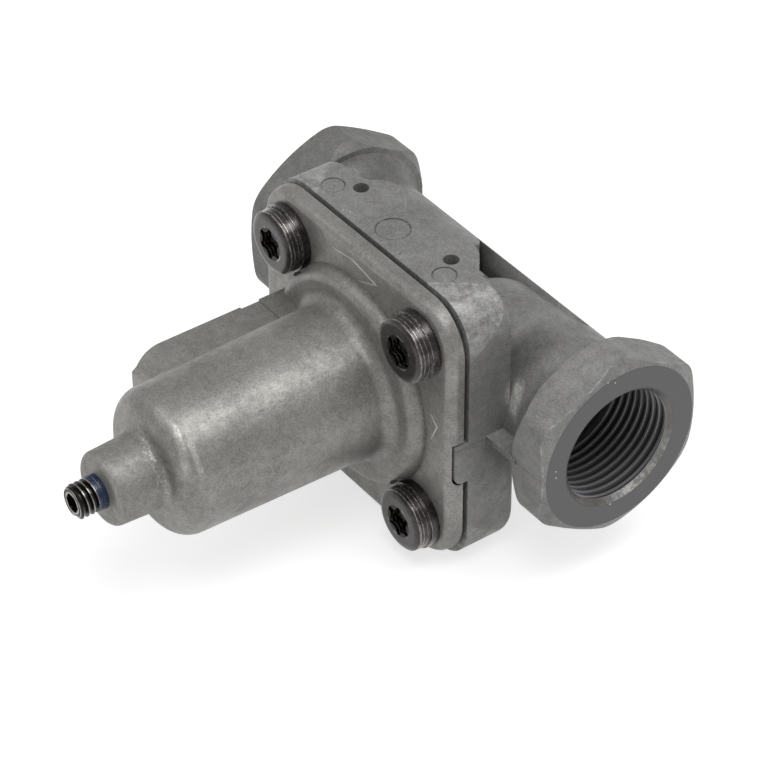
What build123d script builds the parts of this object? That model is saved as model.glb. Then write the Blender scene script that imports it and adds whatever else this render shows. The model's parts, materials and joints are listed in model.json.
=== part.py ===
"""Overflow charging valve for a compressed air system, in millimetres.

The origin lies on the port axis where the inlet's thread starts, +X runs along the flow, +Z is up
and the spring housing points towards -Y. Distances in front of the port axis are counted along -Y
and are called front distances. Screw threads are left plain.
"""
from math import radians, sin, sqrt, tan
import os

from build123d import *

os.makedirs("parts", exist_ok=True)

# Ports: two threaded hexagon ends on one axis
outlet_reach = 40.5
inlet_reach = 41.2
port_thread = 22.0
port_thread_depth = 13.5
port_lead = 0.9
port_mouth = 0.1
port_bore_diameter = 18.0
port_bore_wall = 3.3
hex_flats = 31.2
hex_corner = 4.5
hex_length = 8.1
hex_face_angle = 28.0
hex_face_setback = 0.6
hex_back_angle = 45.0
hex_back_setback = -0.2
neck_flare_run = 4.0
neck_flare_rise = 2.4

# Body flange, its screws and the passages behind it
seam_front = 19.4
flange_thickness = 8.6
flange_margin = 8.32
flange_corner = 7.5
flange_edge = 0.8
flange_step = 1.8
flange_step_edge = 2.4
bolt_circle = 50.0
screw_thread = 6.0
thread_fit = 0.05
seat_depth = 2.8
seat_bore_diameter = 12.0
seat_wall = 2.2
chamber_depth = 5.8
chamber_draft = 0.4
inlet_relief = 6.5
inlet_passage_diameter = 14.0
inlet_passage_end = 9.0
transfer_diameter = 8.4
transfer_gap = 0.2
outlet_passage_diameter = 11.0
outlet_passage_start = 5.5
passage_wall = 2.7
boss_wall = 1.7
boss_right = 13.0
boss_height = 19.0

# Pocket that lightens the casting above the outlet passage
pocket_left = 4.0
pocket_right = 22.0
pocket_back = 8.3
pocket_corner = 5.0
shroud_start = 0.7
shroud_knee = 6.2
shroud_knee_wall = 2.1
shroud_end_wall = 2.97

# Pads behind the top of the flange, with two holes for drive pins
pad_radius = 4.9
pad_left_margin = 17.4
pad_right_margin = 15.0
pad_inset = 1.5
pad_blend = 2.2
pin_margin = 13.85
pin_inset = 1.85
pin_hole_diameter = 2.7
pin_hole_depth = 6.0

# Shallow marks that the die's ejector pins and its round insert leave in the flange's top face
ejector_diameter = 4.0
ejector_left_margin = 10.4
ejector_right_margin = 11.4
ejector_inset = 5.05
insert_diameter = 5.8
insert_inset = 4.35
mark_depth = 0.12

# Locating tongue and the thin webs in the parting plane
tongue_top = 0.9
tongue_height = 8.0
tongue_depth = 2.8
tongue_reach = 2.6
tongue_corner = 1.6
tongue_clearance = 0.3
web_thickness = 1.0
web_height = 3.5
web_overlap = 1.0

# Diaphragm between body and cover
diaphragm_thickness = 0.8
bead_margin = 0.5
bead_width = 1.4
bead_height = 1.0
bead_clearance = 0.1
fold_clearance = 0.3

# Cover: flange, shoulder, dome and nose
cover_margin = 0.2
cover_low_margin = 0.95
cover_corner = 8.2
cover_thickness = 2.84
cover_edge = 1.7
cover_hole_clearance = 0.6
shoulder_height = 2.3
shoulder_land = 1.7
shoulder_edge = 2.2
recess_margin = 0.5
spring_bore_diameter = 20.4
spring_bore_chamfer = 1.2
dome_wall = 2.5
dome_draft = 1.1
dome_end_wall = 2.24
dome_corner = 4.2
dome_face_slope = 6.4
dome_foot_fillet = 2.2
nose_height = 8.6
nose_wall = 3.35
nose_draft = 2.7
nose_edge = 1.25
nose_foot_fillet = 1.3

# Vent boss down one side of the dome
vent_boss_reach = 19.0
vent_boss_height = 13.3
vent_boss_length = 31.3
vent_tip_height = 6.3
vent_tip_step = 0.95
vent_slope_length = 4.8
vent_slope_rise = 2.8
vent_notch_place = 6.1
vent_notch_length = 3.7
vent_notch_depth = 0.4
vent_boss_edge = 0.6
vent_place = 16.0
vent_hole_diameter = 3.0
filter_diameter = 8.0
filter_thickness = 1.8
filter_recess = 0.4
filter_fit = 0.05

# Cover screws with their spring lock washers
washer_diameter = 11.8
washer_thickness = 1.6
washer_play = 0.2
washer_split = 1.2
spot_face_margin = 0.6
screw_length = 12.0
screw_chamfer = 0.7
head_diameter = 11.2
head_draft = 0.1
head_side = 2.0
head_dome = 0.55
head_flat = 8.4
socket_diameter = 5.8
socket_depth = 2.0
socket_lobes = 6
flute_radius = 1.3
flute_depth = 0.8
lobe_fillet = 0.25

# Piston, pressure spring and spring plate
piston_plate_diameter = 26.0
piston_plate_thickness = 3.1
piston_skirt_height = 9.5
piston_skirt_wall = 1.2
piston_hub_height = 3.4
piston_edge = 0.5
piston_clearance = 0.1
piston_lift = 2.2
spring_length = 34.1
spring_wire = 2.3
spring_turns = 7.0
spring_clearance = 0.5
hub_clearance = 0.6
plate_thickness = 2.9
plate_clearance = 0.3
plate_hub_height = 3.0
adjuster_travel = 3.0
wire_sides = 8
contact_gap = 0.02

# Set screw
set_screw_thread = 6.0
set_screw_length = 20.0
set_screw_flats = 3.0
set_screw_socket_depth = 3.4
set_screw_chamfer = 0.7

# Check valve in the outlet
check_seat = 8.0
check_lift = 4.5
poppet_face_gap = 0.5
poppet_thickness = 3.2
poppet_flow_gap = 1.3
stem_diameter = 4.8
stem_clearance = 0.1
seal_width = 1.6
seal_height = 1.5
check_spring_wire = 0.8
check_spring_turns = 3.5
check_spring_play = 1.1
retainer_thickness = 2.2
retainer_hub_wall = 1.4
retainer_rim = 1.4
retainer_spokes = 3
spoke_width = 2.6
retainer_fit = 0.08
ring_land = 2.2
ring_thickness = 1.0
ring_groove_depth = 0.5
ring_fit = 0.05
ring_width = 1.5
ring_opening = 50.0
ring_lug_radius = 1.3
ring_lug_hole = 0.7

# Places along the port axis, counted from the valve axis
centre_x = inlet_reach - port_lead
port_radius = port_thread / 2
port_bore_radius = port_bore_diameter / 2
thread_end = outlet_reach - port_thread_depth
inlet_thread_end = inlet_reach - port_thread_depth
hex_corner_radius = hex_flats / sqrt(3)
neck_radius = port_bore_radius + port_bore_wall
ring_start = thread_end - ring_land - ring_thickness
retainer_start = ring_start - contact_gap - retainer_thickness
poppet_start = check_seat + poppet_face_gap
poppet_back = poppet_start + poppet_thickness
hub_start = poppet_back + check_lift + contact_gap
stem_radius = stem_diameter / 2
hub_radius = stem_radius + stem_clearance + retainer_hub_wall
check_spring_radius = hub_radius + check_spring_play + check_spring_wire / 2
check_spring_start = poppet_back + contact_gap
check_spring_length = retainer_start - contact_gap - check_spring_start

# Places along the valve axis, as front distances
screw_offset = bolt_circle / 2 / sqrt(2)
flange_half = screw_offset + flange_margin
pad_left = flange_half - pad_left_margin
pad_right = flange_half - pad_right_margin
pin_offset = flange_half - pin_margin
ejector_left = flange_half - ejector_left_margin
ejector_right = flange_half - ejector_right_margin
flange_back = seam_front - flange_thickness
cover_half = flange_half - cover_margin
cover_back = seam_front + diaphragm_thickness
cover_face = cover_back + cover_thickness
cover_hole_radius = (screw_thread + cover_hole_clearance) / 2
shoulder_front = cover_face + shoulder_height
washer_front = cover_face + washer_thickness
seat_front = seam_front - seat_depth
seat_outer = seat_bore_diameter / 2 + seat_wall
chamber_floor = seam_front - chamber_depth
transfer_offset = seat_outer + transfer_gap + transfer_diameter / 2
chamber_radius = transfer_offset + transfer_diameter / 2 + transfer_gap
boss_left = transfer_offset + transfer_diameter / 2 + boss_wall
bead_radius = bolt_circle / 2 - cover_hole_radius - bead_margin
recess_radius = chamber_radius - recess_margin
piston_back = seat_front + diaphragm_thickness + contact_gap
spring_seat = piston_back + piston_plate_thickness
spring_end = spring_seat + spring_length
plate_front = spring_end + plate_thickness
recess_front = spring_seat + piston_lift + contact_gap
spring_bore_front = plate_front + adjuster_travel + spring_bore_chamfer
dome_front = spring_bore_front + dome_end_wall
nose_front = dome_front + nose_height
bore_radius = spring_bore_diameter / 2
dome_end_radius = bore_radius + dome_wall
nose_radius = set_screw_thread / 2 + nose_wall
nose_foot_radius = nose_radius + nose_height * tan(radians(nose_draft))
dome_rim = dome_front - (dome_end_radius - nose_foot_radius) * tan(radians(dome_face_slope))
dome_foot_radius = dome_end_radius + (dome_rim - shoulder_front) * tan(radians(dome_draft))
shoulder_radius = dome_foot_radius + dome_foot_fillet + shoulder_land + shoulder_edge
skirt_radius = bore_radius - piston_clearance
spring_outer = skirt_radius - piston_skirt_wall - spring_clearance
spring_radius = spring_outer - spring_wire / 2
guide_radius = spring_outer - spring_wire - hub_clearance
set_screw_start = plate_front + contact_gap
set_screw_radius = set_screw_thread / 2 - thread_fit
vent_front = cover_face + vent_place

# Planes through the valve axis: front looks back at the valve, turned holds (front distance, radius),
# ports holds (x, y), across is square to the port axis and side holds (front distance, z)
front = Plane(origin=(centre_x, 0, 0), x_dir=(1, 0, 0), z_dir=(0, -1, 0))
turned = Plane(origin=(centre_x, 0, 0), x_dir=(0, -1, 0), z_dir=(0, 0, 1))
ports = Plane(origin=(centre_x, 0, 0), x_dir=(1, 0, 0), z_dir=(0, 0, 1))
across = Plane(origin=(centre_x, 0, 0), x_dir=(0, 1, 0), z_dir=(1, 0, 0))
side = Plane(origin=(centre_x, 0, 0), x_dir=(0, -1, 0), z_dir=(-1, 0, 0))
valve_axis = Axis((centre_x, 0, 0), (0, -1, 0))
port_axis = Axis((centre_x, 0, 0), (1, 0, 0))


def round_corner(place, size):
    """Round the corner of the sketch in hand that lies nearest a place."""
    fillet(vertices().sort_by_distance(place)[0], size)


def tongue_outline(play):
    """Outline of the locating tongue, or with some play of the notch that it fits."""
    tip = seam_front + tongue_reach + play
    bottom = tongue_top - tongue_height - play
    with BuildSketch(side.offset(-flange_half)) as outline:
        with Locations((tip - tongue_reach, (tongue_top + play + bottom) / 2)):
            Rectangle(2 * tongue_reach, tongue_top + play - bottom)
        round_corner((tip, bottom), tongue_corner)
    return outline.sketch


def port_end(reach):
    """Half of the tube: neck, flare and a hexagon that is turned down at both ends."""
    hex_back = reach - hex_length
    face_radius = hex_flats / 2 - hex_face_setback
    back_radius = hex_flats / 2 - hex_back_setback
    face_run = (hex_corner_radius - face_radius) * tan(radians(hex_face_angle))
    back_run = (hex_corner_radius - back_radius) * tan(radians(hex_back_angle))
    with BuildPart() as end:
        with BuildSketch(across.offset(hex_back)):
            RegularPolygon(radius=hex_corner_radius, side_count=6, rotation=90)
            fillet(vertices(), hex_corner)
        extrude(amount=hex_length)
        with BuildSketch(ports):
            with BuildLine():
                Polyline(
                    (hex_back, 0),
                    (hex_back, back_radius),
                    (hex_back + back_run, hex_corner_radius),
                    (reach - face_run, hex_corner_radius),
                    (reach, face_radius),
                    (reach, 0),
                    close=True,
                )
            make_face()
        revolve(axis=port_axis, mode=Mode.INTERSECT)
        with BuildSketch(ports):
            with BuildLine():
                neck = Line((0, neck_radius), (hex_back - neck_flare_run, neck_radius))
                flare = TangentArc(neck @ 1, (hex_back, neck_radius + neck_flare_rise), tangent=neck % 1)
                Polyline(flare @ 1, (hex_back + hex_length / 2, neck_radius), (hex_back, 0), (0, 0), neck @ 0)
            make_face()
        revolve(axis=port_axis)
    return end.part


# The two halves of the tube, as they stand on the outlet's side
outlet_end = port_end(outlet_reach)
inlet_end = port_end(inlet_reach)

# The pocket is cut down to the shroud round the outlet passage
shroud_floor = outlet_passage_diameter / 2 + passage_wall
shroud_end_radius = port_bore_radius + shroud_end_wall
with BuildPart() as shroud:
    with BuildSketch(ports):
        with BuildLine():
            crest = Line((pocket_right, shroud_end_radius), (shroud_knee, port_bore_radius + shroud_knee_wall))
            nose = TangentArc(crest @ 1, (shroud_start, shroud_floor), tangent=crest % 1)
            Polyline(nose @ 1, (-thread_end, shroud_floor), (-thread_end, 0), (thread_end, 0))
            Polyline((thread_end, 0), (thread_end, shroud_end_radius), crest @ 0)
        make_face()
    revolve(axis=port_axis)
with BuildPart() as pocket:
    with BuildSketch(ports):
        with BuildLine():
            Polyline(
                (-pocket_left, pocket_back - pocket_corner),
                (-pocket_left, -flange_back),
                (pocket_right, -flange_back),
                (pocket_right, pocket_back),
                (-pocket_left - pocket_corner, pocket_back),
            )
            CenterArc((-pocket_left - pocket_corner, pocket_back - pocket_corner), pocket_corner, 0, 90)
        make_face()
    extrude(amount=neck_radius + 1)
    add(shroud.part, mode=Mode.SUBTRACT)

# The flange in two halves: below the parting plane it is thicker, with a fuller back edge
flange_halves = []
for step, edge, kept in ((0, flange_edge, Keep.TOP), (flange_step, flange_step_edge, Keep.BOTTOM)):
    with BuildPart() as flange:
        with BuildSketch(front.offset(flange_back - step)):
            RectangleRounded(2 * flange_half, 2 * flange_half, flange_corner)
        extrude(amount=flange_thickness + step)
        fillet(flange.faces().sort_by(Axis.Y)[-1].edges(), edge)
        split(bisect_by=Plane.XY, keep=kept)
    flange_halves.append(flange.part)

with BuildPart() as body:
    add(outlet_end)
    mirror(inlet_end, about=across)
    add(pocket.part, mode=Mode.SUBTRACT)
    add(flange_halves)
    # boss round the seat bore and the transfer hole
    with BuildSketch(front):
        with Locations(((boss_right - boss_left) / 2, 0)):
            SlotOverall(boss_left + boss_right, boss_height)
    extrude(amount=flange_back + flange_edge)
    # pads behind the top of the flange, blended into it
    with BuildSketch(ports):
        for pad_x in (-pad_left, pad_right):
            with Locations((pad_x, -flange_back - pad_inset)):
                Circle(pad_radius)
        with Locations((0, -flange_back - pad_radius / 2)):
            Rectangle(2 * (flange_half - flange_corner), pad_radius)
        pad_sides = vertices().filter_by_position(Axis.Y, -flange_back - 0.01, -flange_back + 0.01)
        fillet(pad_sides.filter_by_position(Axis.X, -pad_left - pad_radius, pad_right + pad_radius), pad_blend)
    extrude(amount=flange_half)
    # webs in the parting plane, between the flange and the hexagons
    with BuildSketch(ports.offset(-web_thickness / 2)):
        for end, reach in ((-1, inlet_reach), (1, outlet_reach)):
            web_length = reach - hex_length - flange_half
            with Locations((end * (flange_half + web_length / 2), -neck_radius)):
                Rectangle(web_length + 2 * web_overlap, 2 * web_height)
    extrude(amount=web_thickness)
    # the locating tongue
    extrude(tongue_outline(0), amount=tongue_depth)
    # chamber under the diaphragm, with the seat left standing in it
    with BuildSketch(turned):
        with BuildLine():
            Polyline(
                (seam_front, seat_bore_diameter / 2),
                (seat_front, seat_bore_diameter / 2),
                (seat_front, seat_bore_diameter / 2 + seat_wall / 2),
                (chamber_floor, seat_outer),
                (chamber_floor, chamber_radius),
                (seam_front, chamber_radius + chamber_draft),
                close=True,
            )
        make_face()
    revolve(axis=valve_axis, mode=Mode.SUBTRACT)
    # groove for the bead of the diaphragm
    with BuildSketch(front.offset(seam_front)):
        Circle(bead_radius + bead_clearance)
        Circle(bead_radius - bead_width - bead_clearance, mode=Mode.SUBTRACT)
    extrude(amount=-bead_height - bead_clearance, mode=Mode.SUBTRACT)
    # seat bore and transfer hole
    with BuildSketch(front):
        Circle(seat_bore_diameter / 2)
    extrude(amount=seam_front, mode=Mode.SUBTRACT)
    with BuildSketch(front):
        with Locations((-transfer_offset, 0)):
            Circle(transfer_diameter / 2)
    extrude(amount=chamber_floor, mode=Mode.SUBTRACT)
    # inlet bore, from the port inwards
    with BuildSketch(ports):
        with BuildLine():
            Polyline(
                (-inlet_reach, 0),
                (-inlet_reach, port_radius + port_mouth),
                (-inlet_reach + port_mouth, port_radius),
                (-inlet_thread_end, port_radius),
                (-inlet_thread_end, port_bore_radius),
                (-inlet_thread_end + inlet_relief, port_bore_radius),
                (-inlet_thread_end + inlet_relief, inlet_passage_diameter / 2),
                (-inlet_passage_end, inlet_passage_diameter / 2),
                (-inlet_passage_end, 0),
                close=True,
            )
        make_face()
    revolve(axis=port_axis, mode=Mode.SUBTRACT)
    # outlet bore, with the check valve's seat and the groove of its retaining ring
    groove_start = ring_start - contact_gap
    groove_end = ring_start + ring_thickness + contact_gap
    groove_radius = port_bore_radius + ring_groove_depth
    with BuildSketch(ports):
        with BuildLine():
            Polyline(
                (outlet_reach, 0),
                (outlet_reach, port_radius + port_mouth),
                (outlet_reach - port_mouth, port_radius),
                (thread_end, port_radius),
                (thread_end, port_bore_radius),
                (groove_end, port_bore_radius),
                (groove_end, groove_radius),
                (groove_start, groove_radius),
                (groove_start, port_bore_radius),
                (check_seat, port_bore_radius),
                (check_seat, outlet_passage_diameter / 2),
                (-outlet_passage_start, outlet_passage_diameter / 2),
                (-outlet_passage_start, 0),
                close=True,
            )
        make_face()
    revolve(axis=port_axis, mode=Mode.SUBTRACT)
    # tapped holes for the cover screws and holes for the drive pins
    with Locations(front.offset(seam_front)):
        with GridLocations(2 * screw_offset, 2 * screw_offset, 2, 2):
            Hole(screw_thread / 2, depth=flange_thickness + 1)
    with Locations(ports.offset(flange_half)):
        with Locations((-pin_offset, -flange_back - pin_inset), (pin_offset, -flange_back - pin_inset)):
            Hole(pin_hole_diameter / 2, depth=pin_hole_depth)
    # marks in the top face
    with BuildSketch(ports.offset(flange_half)):
        with Locations((0, -flange_back - insert_inset)):
            Circle(insert_diameter / 2)
        ejector_y = -flange_back - ejector_inset
        with Locations((-ejector_left, ejector_y), (ejector_right, ejector_y)):
            Circle(ejector_diameter / 2)
    extrude(amount=-mark_depth, mode=Mode.SUBTRACT)
body.part.label = "body"
export_step(body.part, "parts/body.step")

# Vent boss, stepped at its tip, notched near its root and rounded on its outer face
vent_half = vent_boss_height / 2
vent_root = cover_back + cover_thickness / 2
vent_tip = cover_face + vent_boss_length
vent_step = vent_tip - vent_tip_step
notch_start = cover_face + vent_notch_place
notch_end = notch_start + vent_notch_length
with BuildPart() as vent_boss:
    with BuildSketch(side.offset(vent_boss_reach)):
        with BuildLine():
            for end in (-1, 1):
                bend = (vent_step - vent_slope_length, end * vent_half)
                slope = TangentArc(bend, (vent_step, end * (vent_half - vent_slope_rise)), tangent=(1, 0))
                Line(slope @ 1, (vent_tip, end * vent_tip_height / 2))
            Line((vent_tip, -vent_tip_height / 2), (vent_tip, vent_tip_height / 2))
            Polyline(
                (vent_step - vent_slope_length, vent_half),
                (notch_end, vent_half),
                (notch_end, vent_half - vent_notch_depth),
                (notch_start, vent_half - vent_notch_depth),
                (notch_start, vent_half),
                (vent_root, vent_half),
                (vent_root, -vent_half),
                (vent_step - vent_slope_length, -vent_half),
            )
        make_face()
    extrude(amount=-vent_boss_reach)
    fillet(vent_boss.faces().sort_by(Axis.X)[0].edges(), vent_boss_edge)

# Cover: square flange, and a shoulder, dome and nose turned round the valve axis
with BuildPart() as cover:
    with BuildSketch(front.offset(cover_back)):
        with Locations((0, (cover_low_margin - cover_margin) / 2)):
            RectangleRounded(2 * cover_half, cover_half + flange_half - cover_low_margin, cover_corner)
    extrude(amount=cover_thickness)
    fillet(cover.faces().sort_by(Axis.Y)[0].edges(), cover_edge)
    with BuildSketch(turned):
        with BuildLine():
            Polyline(
                (cover_back, 0),
                (cover_back, shoulder_radius),
                (shoulder_front, shoulder_radius),
                (shoulder_front, dome_foot_radius),
                (dome_rim, dome_end_radius),
                (dome_front, nose_foot_radius),
                (nose_front, nose_radius),
                (nose_front, 0),
                close=True,
            )
        make_face()
        round_corner((shoulder_front, shoulder_radius), shoulder_edge)
        round_corner((shoulder_front, dome_foot_radius), dome_foot_fillet)
        round_corner((dome_rim, dome_end_radius), dome_corner)
        round_corner((dome_front, nose_foot_radius), nose_foot_fillet)
        round_corner((nose_front, nose_radius), nose_edge)
    revolve(axis=valve_axis)
    add(vent_boss.part)
    # spring chamber, recess over the piston and the hole of the set screw
    with BuildSketch(turned):
        with BuildLine():
            Polyline(
                (cover_back, 0),
                (cover_back, recess_radius),
                (recess_front, recess_radius),
                (recess_front, bore_radius),
                (spring_bore_front - spring_bore_chamfer, bore_radius),
                (spring_bore_front, bore_radius - spring_bore_chamfer),
                (spring_bore_front, set_screw_thread / 2),
                (nose_front, set_screw_thread / 2),
                (nose_front, 0),
                close=True,
            )
        make_face()
    revolve(axis=valve_axis, mode=Mode.SUBTRACT)
    # screw holes, spot faced into the shoulder
    spot_depth = shoulder_height + 1
    with Locations(front.offset(cover_face + spot_depth)):
        with GridLocations(2 * screw_offset, 2 * screw_offset, 2, 2):
            CounterBoreHole(cover_hole_radius, washer_diameter / 2 + spot_face_margin, spot_depth)
    # notch for the locating tongue
    extrude(tongue_outline(tongue_clearance), amount=tongue_depth + tongue_clearance, mode=Mode.SUBTRACT)
    # vent hole and the seat of its filter
    with Locations(side.offset(vent_boss_reach)):
        with Locations((vent_front, 0)):
            CounterBoreHole(
                vent_hole_diameter / 2,
                filter_diameter / 2,
                filter_recess + filter_thickness,
                depth=vent_boss_reach,
            )
cover.part.label = "cover"
export_step(cover.part, "parts/cover.step")

# Vent filter: a sintered disc in the boss
with BuildPart() as vent_filter:
    with BuildSketch(side.offset(vent_boss_reach - filter_recess)):
        with Locations((vent_front, 0)):
            Circle(filter_diameter / 2 - filter_fit)
    extrude(amount=-filter_thickness)
    chamfer(vent_filter.edges().group_by(Axis.X)[0], filter_thickness / 6)
vent_filter.part.label = "vent_filter"
export_step(vent_filter.part, "parts/vent_filter.step")

# Cover screws with six-lobe sockets, and the lock washers under their heads
screw_radius = screw_thread / 2 - thread_fit
head_radius = head_diameter / 2
screw_places = [(x, z) for z in (screw_offset, -screw_offset) for x in (-screw_offset, screw_offset)]
for number, (x, z) in enumerate(screw_places, start=1):
    foot = (centre_x + x, -washer_front, z)
    tip = -screw_length
    with BuildPart() as cover_screw:
        with BuildSketch(Plane(origin=foot, x_dir=(0, -1, 0), z_dir=(0, 0, 1))):
            with BuildLine():
                Polyline(
                    (head_side, head_radius - head_draft),
                    (contact_gap, head_radius),
                    (contact_gap, screw_radius),
                    (tip + screw_chamfer, screw_radius),
                    (tip, screw_radius - screw_chamfer),
                    (tip, 0),
                    (head_side + head_dome, 0),
                    (head_side + head_dome, head_flat / 2),
                )
                TangentArc(
                    (head_side + head_dome, head_flat / 2),
                    (head_side, head_radius - head_draft),
                    tangent=(0, 1),
                )
            make_face()
        revolve(axis=Axis(foot, (0, -1, 0)))
        with BuildSketch(Plane(origin=foot, x_dir=(1, 0, 0), z_dir=(0, -1, 0)).offset(head_side + head_dome)):
            Circle(socket_diameter / 2)
            with PolarLocations(socket_diameter / 2 - flute_depth + flute_radius, socket_lobes):
                Circle(flute_radius, mode=Mode.SUBTRACT)
            fillet(vertices(), lobe_fillet)
        extrude(amount=-socket_depth, mode=Mode.SUBTRACT)
    cover_screw.part.label = f"cover_screw_{number}"
    export_step(cover_screw.part, f"parts/cover_screw_{number}.step")

    with BuildPart() as lock_washer:
        with BuildSketch(Plane(origin=(centre_x + x, -cover_face, z), x_dir=(1, 0, 0), z_dir=(0, -1, 0))):
            Circle(washer_diameter / 2)
            Circle(screw_thread / 2 + washer_play, mode=Mode.SUBTRACT)
            with Locations((-washer_diameter / 2, 0)):
                Rectangle(washer_diameter, washer_split, mode=Mode.SUBTRACT)
        extrude(amount=washer_thickness)
    lock_washer.part.label = f"lock_washer_{number}"
    export_step(lock_washer.part, f"parts/lock_washer_{number}.step")

# Set screw with its hexagon socket
with BuildPart() as set_screw:
    with BuildSketch(front.offset(set_screw_start)):
        Circle(set_screw_radius)
    extrude(amount=set_screw_length)
    chamfer(set_screw.edges(), set_screw_chamfer)
    with BuildSketch(front.offset(set_screw_start + set_screw_length)):
        RegularPolygon(radius=set_screw_flats / 2, side_count=6, major_radius=False)
    extrude(amount=-set_screw_socket_depth, mode=Mode.SUBTRACT)
set_screw.part.label = "set_screw"
export_step(set_screw.part, "parts/set_screw.step")

# Spring plate, centred by a hub inside the spring
with BuildPart() as spring_plate:
    with BuildSketch(front.offset(spring_end)):
        Circle(bore_radius - plate_clearance)
    extrude(amount=plate_thickness)
    with BuildSketch(front.offset(spring_end)):
        Circle(guide_radius)
    extrude(amount=-plate_hub_height)
    chamfer(spring_plate.faces().sort_by(Axis.Y)[-1].edges(), piston_edge)
    chamfer(spring_plate.faces().sort_by(Axis.Y)[0].edges(), piston_edge)
spring_plate.part.label = "spring_plate"
export_step(spring_plate.part, "parts/spring_plate.step")

# Piston: a plate on the diaphragm, a skirt guided in the cover and a hub inside the spring
with BuildPart() as piston:
    with BuildSketch(turned):
        with BuildLine():
            Polyline(
                (piston_back, 0),
                (piston_back, piston_plate_diameter / 2),
                (spring_seat, piston_plate_diameter / 2),
                (spring_seat, skirt_radius),
                (spring_seat + piston_skirt_height, skirt_radius),
                (spring_seat + piston_skirt_height, skirt_radius - piston_skirt_wall),
                (spring_seat, skirt_radius - piston_skirt_wall),
                (spring_seat, guide_radius),
                (spring_seat + piston_hub_height, guide_radius - piston_edge),
                (spring_seat + piston_hub_height, 0),
                close=True,
            )
        make_face()
        round_corner((piston_back, piston_plate_diameter / 2), piston_plate_thickness / 4)
    revolve(axis=valve_axis)
piston.part.label = "piston"
export_step(piston.part, "parts/piston.step")

# Diaphragm: a flat centre on the seat, a fold, a clamped rim and a bead in the body's groove
fold_inner = piston_plate_diameter / 2 + fold_clearance
fold_outer = recess_radius - bead_clearance
with BuildPart() as diaphragm:
    with BuildSketch(turned):
        with BuildLine():
            Polyline(
                (seat_front + contact_gap / 2, 0),
                (seat_front + contact_gap / 2, fold_inner),
                (seam_front, fold_outer),
                (seam_front, bead_radius - bead_width),
                (seam_front - bead_height, bead_radius - bead_width),
                (seam_front - bead_height, bead_radius),
                (cover_back, bead_radius),
                (cover_back, fold_outer),
                (piston_back - contact_gap / 2, fold_inner),
                (piston_back - contact_gap / 2, 0),
                close=True,
            )
        make_face()
    revolve(axis=valve_axis)
diaphragm.part.label = "diaphragm"
export_step(diaphragm.part, "parts/diaphragm.step")

# Pressure spring, its ends ground flat
with BuildPart() as pressure_spring:
    with BuildLine():
        coil = Helix(
            pitch=spring_length / spring_turns,
            height=spring_length,
            radius=spring_radius,
            center=(centre_x, -spring_seat, 0),
            direction=(0, -1, 0),
        )
    with BuildSketch(Plane(origin=coil @ 0, z_dir=coil % 0)):
        RegularPolygon(radius=spring_wire / 2, side_count=wire_sides)
    sweep(is_frenet=True)
    with BuildSketch(front.offset(spring_seat)):
        Circle(spring_outer + spring_clearance)
    extrude(amount=spring_length, mode=Mode.INTERSECT)
pressure_spring.part.label = "pressure_spring"
export_step(pressure_spring.part, "parts/pressure_spring.step")

# Check poppet: a disc with a groove for its seal, and a guided stem
seal_inner = outlet_passage_diameter / 2
seal_outer = seal_inner + seal_width
stem_end = ring_start + ring_thickness
with BuildPart() as check_poppet:
    with BuildSketch(across.offset(poppet_start)):
        Circle(port_bore_radius - poppet_flow_gap)
    extrude(amount=poppet_thickness)
    with BuildSketch(across.offset(poppet_start)):
        Circle(seal_outer)
        Circle(seal_inner, mode=Mode.SUBTRACT)
    extrude(amount=seal_height - poppet_face_gap, mode=Mode.SUBTRACT)
    with BuildSketch(across.offset(poppet_back)):
        Circle(stem_radius)
    extrude(amount=stem_end - poppet_back)
    chamfer(check_poppet.faces().sort_by(Axis.X)[-1].edges(), stem_radius / 5)
check_poppet.part.label = "check_poppet"
export_step(check_poppet.part, "parts/check_poppet.step")

with BuildPart() as check_seal:
    with BuildSketch(across.offset(check_seat + contact_gap)):
        Circle(seal_outer)
        Circle(seal_inner, mode=Mode.SUBTRACT)
    extrude(amount=seal_height - contact_gap)
check_seal.part.label = "check_seal"
export_step(check_seal.part, "parts/check_seal.step")

# Check spring between the poppet and the retainer
with BuildPart() as check_spring:
    with BuildLine():
        coil = Helix(
            pitch=check_spring_length / check_spring_turns,
            height=check_spring_length,
            radius=check_spring_radius,
            center=(centre_x + check_spring_start, 0, 0),
            direction=(1, 0, 0),
        )
    with BuildSketch(Plane(origin=coil @ 0, z_dir=coil % 0)):
        RegularPolygon(radius=check_spring_wire / 2, side_count=wire_sides)
    sweep(is_frenet=True)
    with BuildSketch(across.offset(check_spring_start)):
        Circle(port_bore_radius)
    extrude(amount=check_spring_length, mode=Mode.INTERSECT)
check_spring.part.label = "check_spring"
export_step(check_spring.part, "parts/check_spring.step")

# Check retainer: a rim, spokes that carry the spring and a hub that guides and stops the poppet
with BuildPart() as check_retainer:
    with BuildSketch(across.offset(retainer_start)):
        Circle(port_bore_radius - retainer_fit)
        with BuildSketch(mode=Mode.PRIVATE) as windows:
            Circle(port_bore_radius - retainer_rim)
            Circle(hub_radius, mode=Mode.SUBTRACT)
            with PolarLocations(port_bore_radius / 2, retainer_spokes):
                Rectangle(port_bore_radius, spoke_width, mode=Mode.SUBTRACT)
        add(windows.sketch, mode=Mode.SUBTRACT)
    extrude(amount=retainer_thickness)
    with BuildSketch(across.offset(hub_start)):
        Circle(hub_radius)
    extrude(amount=retainer_start - hub_start)
    with BuildSketch(across.offset(hub_start)):
        Circle(stem_radius + stem_clearance)
    extrude(amount=retainer_start + retainer_thickness - hub_start, mode=Mode.SUBTRACT)
check_retainer.part.label = "check_retainer"
export_step(check_retainer.part, "parts/check_retainer.step")

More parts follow.
